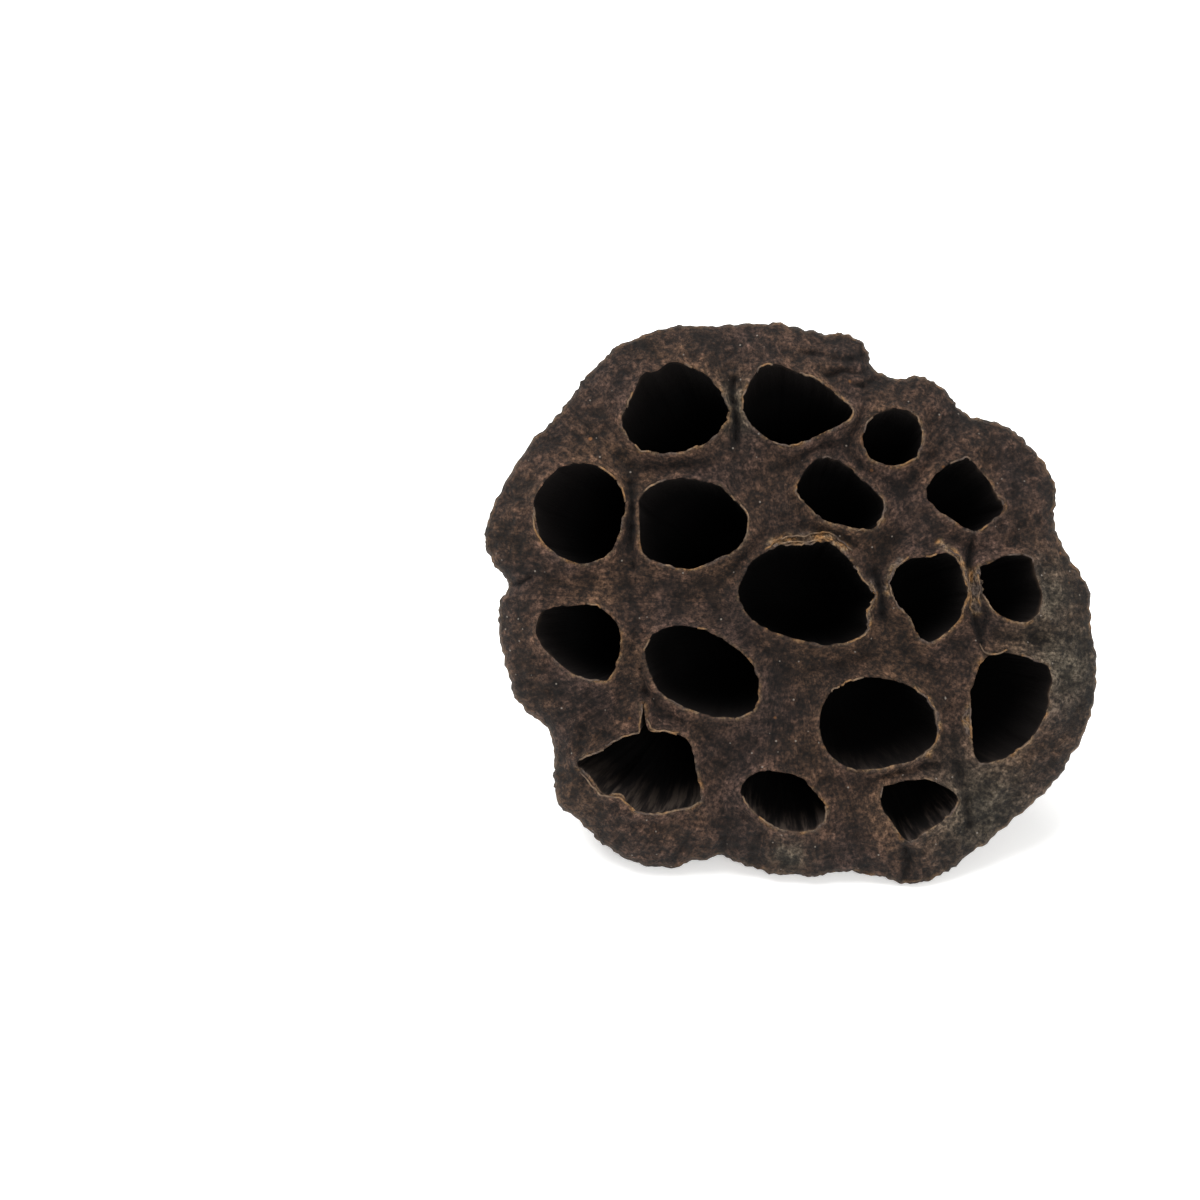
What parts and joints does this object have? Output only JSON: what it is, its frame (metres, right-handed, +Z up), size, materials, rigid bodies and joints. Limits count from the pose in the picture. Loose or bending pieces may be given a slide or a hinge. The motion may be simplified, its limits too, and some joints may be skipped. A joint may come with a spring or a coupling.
{
  "type": "dried lotus pod",
  "caption": "Dried lotus seed head, a dark woody cone lying on its folded flank, with a lobed rim and open, empty seed sockets.",
  "frame": {"origin": "on the ground, under the middle of the pod's box as it lies on its flank", "axes": "+X along the seed face's longest way, +Y away from the seed face towards the cut stem, +Z up"},
  "size_m": [0.0924, 0.0656, 0.0649],
  "materials": {
    "husk": "matte, dried, wrinkled dark grey-brown skin"
  },
  "bodies": {
    "root": {"lotus_pod": "husk"}
  },
  "joints": []
}
